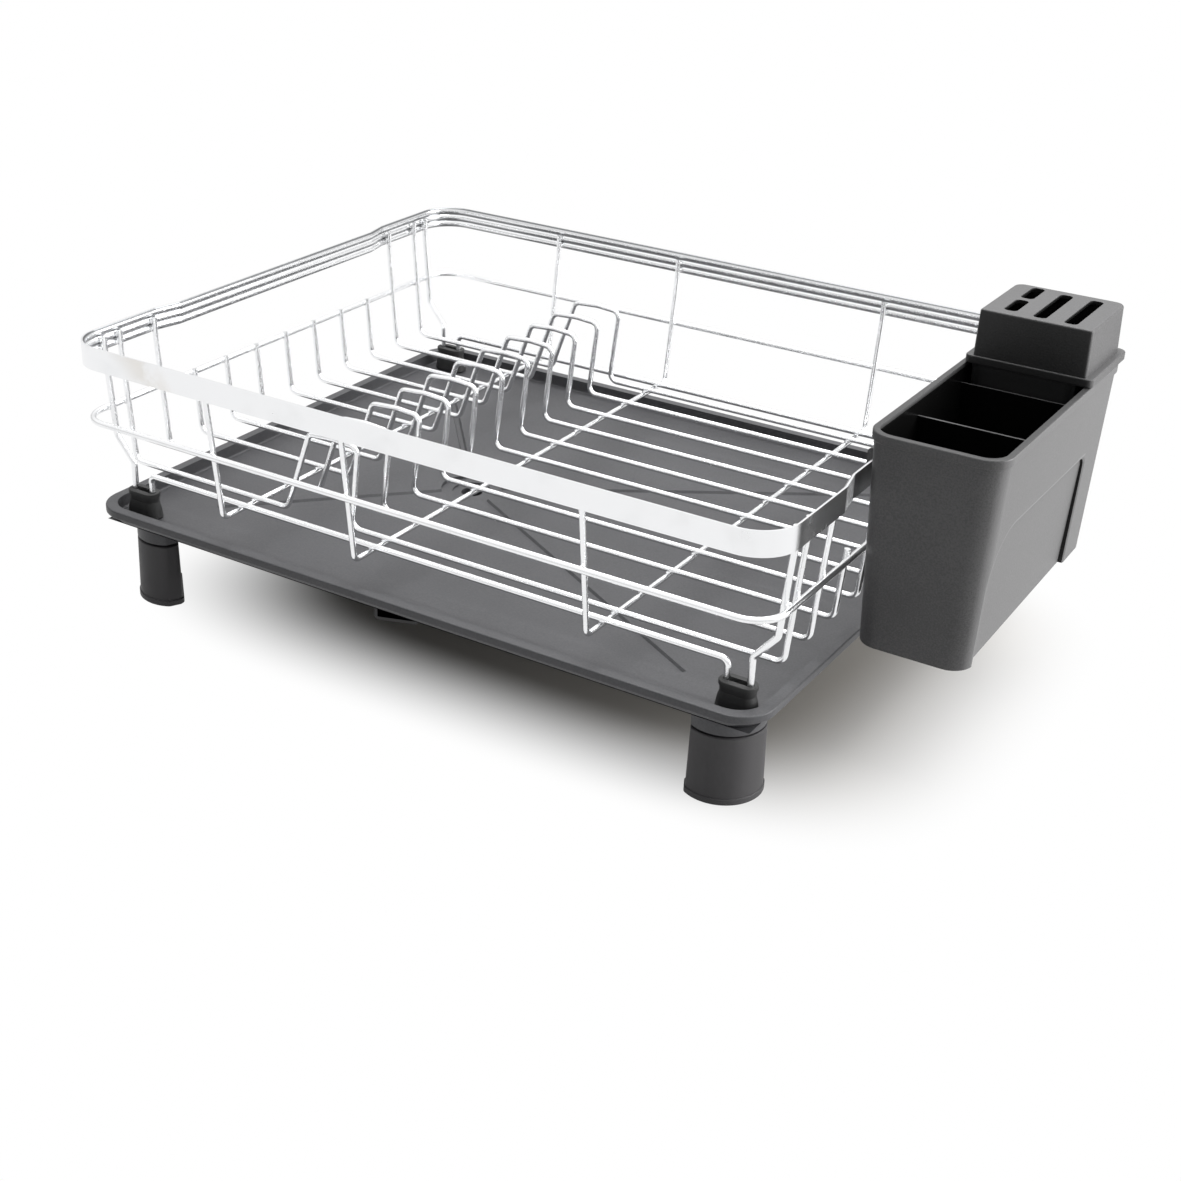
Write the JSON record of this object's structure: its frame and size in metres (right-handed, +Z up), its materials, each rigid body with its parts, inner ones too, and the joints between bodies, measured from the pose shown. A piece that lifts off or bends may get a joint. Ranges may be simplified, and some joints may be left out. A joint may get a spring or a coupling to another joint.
{
  "type": "dish drying rack",
  "caption": "Counter-top dish rack: plated wire basket with plate humps on a footed drip tray with a swivel spout, and a hooked cutlery holder topped by a slotted knife block.",
  "frame": {"origin": "middle of the rack's outline at the counter", "axes": "+X along the long side towards the cutlery holder, +Y to the back, +Z up"},
  "size_m": [0.5096, 0.3612, 0.2124],
  "materials": {
    "tray_plastic": "satin moulded plastic, mid grey",
    "foot_rubber": "matt moulded rubber",
    "spout_plastic": "black moulded plastic",
    "wire_chrome": "bright plated steel",
    "boot_rubber": "black matt rubber",
    "holder_plastic": "fine-grained moulded plastic, dark grey",
    "block_plastic": "fine-grained moulded plastic, dark grey"
  },
  "bodies": {
    "tray": {"drip_tray": "tray_plastic", "tray_foot_front_left": "foot_rubber", "tray_foot_front_right": "foot_rubber", "tray_foot_back_left": "foot_rubber", "tray_foot_back_right": "foot_rubber"},
    "spout": {"drain_spout": "spout_plastic"},
    "basket": {"rim_band": "wire_chrome", "belt_wire": "wire_chrome", "long_wire_01": "wire_chrome", "long_wire_02": "wire_chrome", "long_wire_03": "wire_chrome", "long_wire_04": "wire_chrome", "long_wire_05": "wire_chrome", "long_wire_06": "wire_chrome", "long_wire_07": "wire_chrome", "long_wire_08": "wire_chrome", "long_wire_09": "wire_chrome", "long_wire_10": "wire_chrome", "long_wire_11": "wire_chrome", "cross_wire_left": "wire_chrome", "cross_wire_middle": "wire_chrome", "cross_wire_right": "wire_chrome", "leg_wire_front": "wire_chrome", "leg_wire_back": "wire_chrome", "basket_foot_front_left": "boot_rubber", "basket_foot_front_right": "boot_rubber", "basket_foot_back_left": "boot_rubber", "basket_foot_back_right": "boot_rubber"},
    "holder": {"cutlery_holder": "holder_plastic"},
    "block": {"knife_block": "block_plastic"}
  },
  "joints": [
    {"name": "spout_swivel", "type": "hinge", "parent": "tray", "child": "spout", "pos_m": [-0.1032, 0, 0.037], "axis": [0, 0, 1], "continuous": true},
    {"name": "basket_lift", "type": "slide", "parent": "tray", "child": "basket", "axis": [0, 0, 1], "range_m": [0, 0.08]},
    {"name": "holder_lift", "type": "slide", "parent": "basket", "child": "holder", "axis": [0, 0, 1], "range_m": [0, 0.05]},
    {"name": "block_lift", "type": "slide", "parent": "holder", "child": "block", "axis": [0, 0, 1], "range_m": [0, 0.06]}
  ]
}
